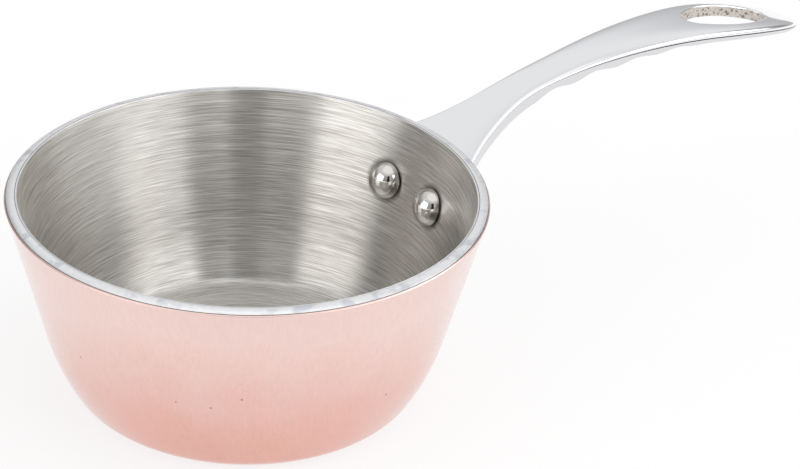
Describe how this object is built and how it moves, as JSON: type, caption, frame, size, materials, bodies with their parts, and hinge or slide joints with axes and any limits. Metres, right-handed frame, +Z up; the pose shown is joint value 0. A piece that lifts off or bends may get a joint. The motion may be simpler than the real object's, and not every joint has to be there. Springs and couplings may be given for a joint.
{
  "type": "saucepan",
  "caption": "Flared clad saucepan with a copper outside, a brushed steel lining and a long cast steel handle fixed by domed rivets.",
  "frame": {"origin": "centre of the flat base, on the pan's axis, in the plane that the pan rests on", "axes": "+Z up along the pan's axis, +X from the axis towards the tip of the handle"},
  "size_m": [0.3424, 0.1598, 0.0866],
  "materials": {
    "copper": "satin brushed copper",
    "aluminium": "ground and polished edge",
    "lining_steel": "brushed round the wall",
    "cast_steel": "polished casting, rough inside the hanging hole",
    "rivet_steel": "polished"
  },
  "bodies": {
    "root": {"copper_shell": "copper", "aluminium_core": "aluminium", "steel_lining": "lining_steel", "handle": "cast_steel", "rivet_left": "rivet_steel", "rivet_right": "rivet_steel"}
  },
  "joints": []
}
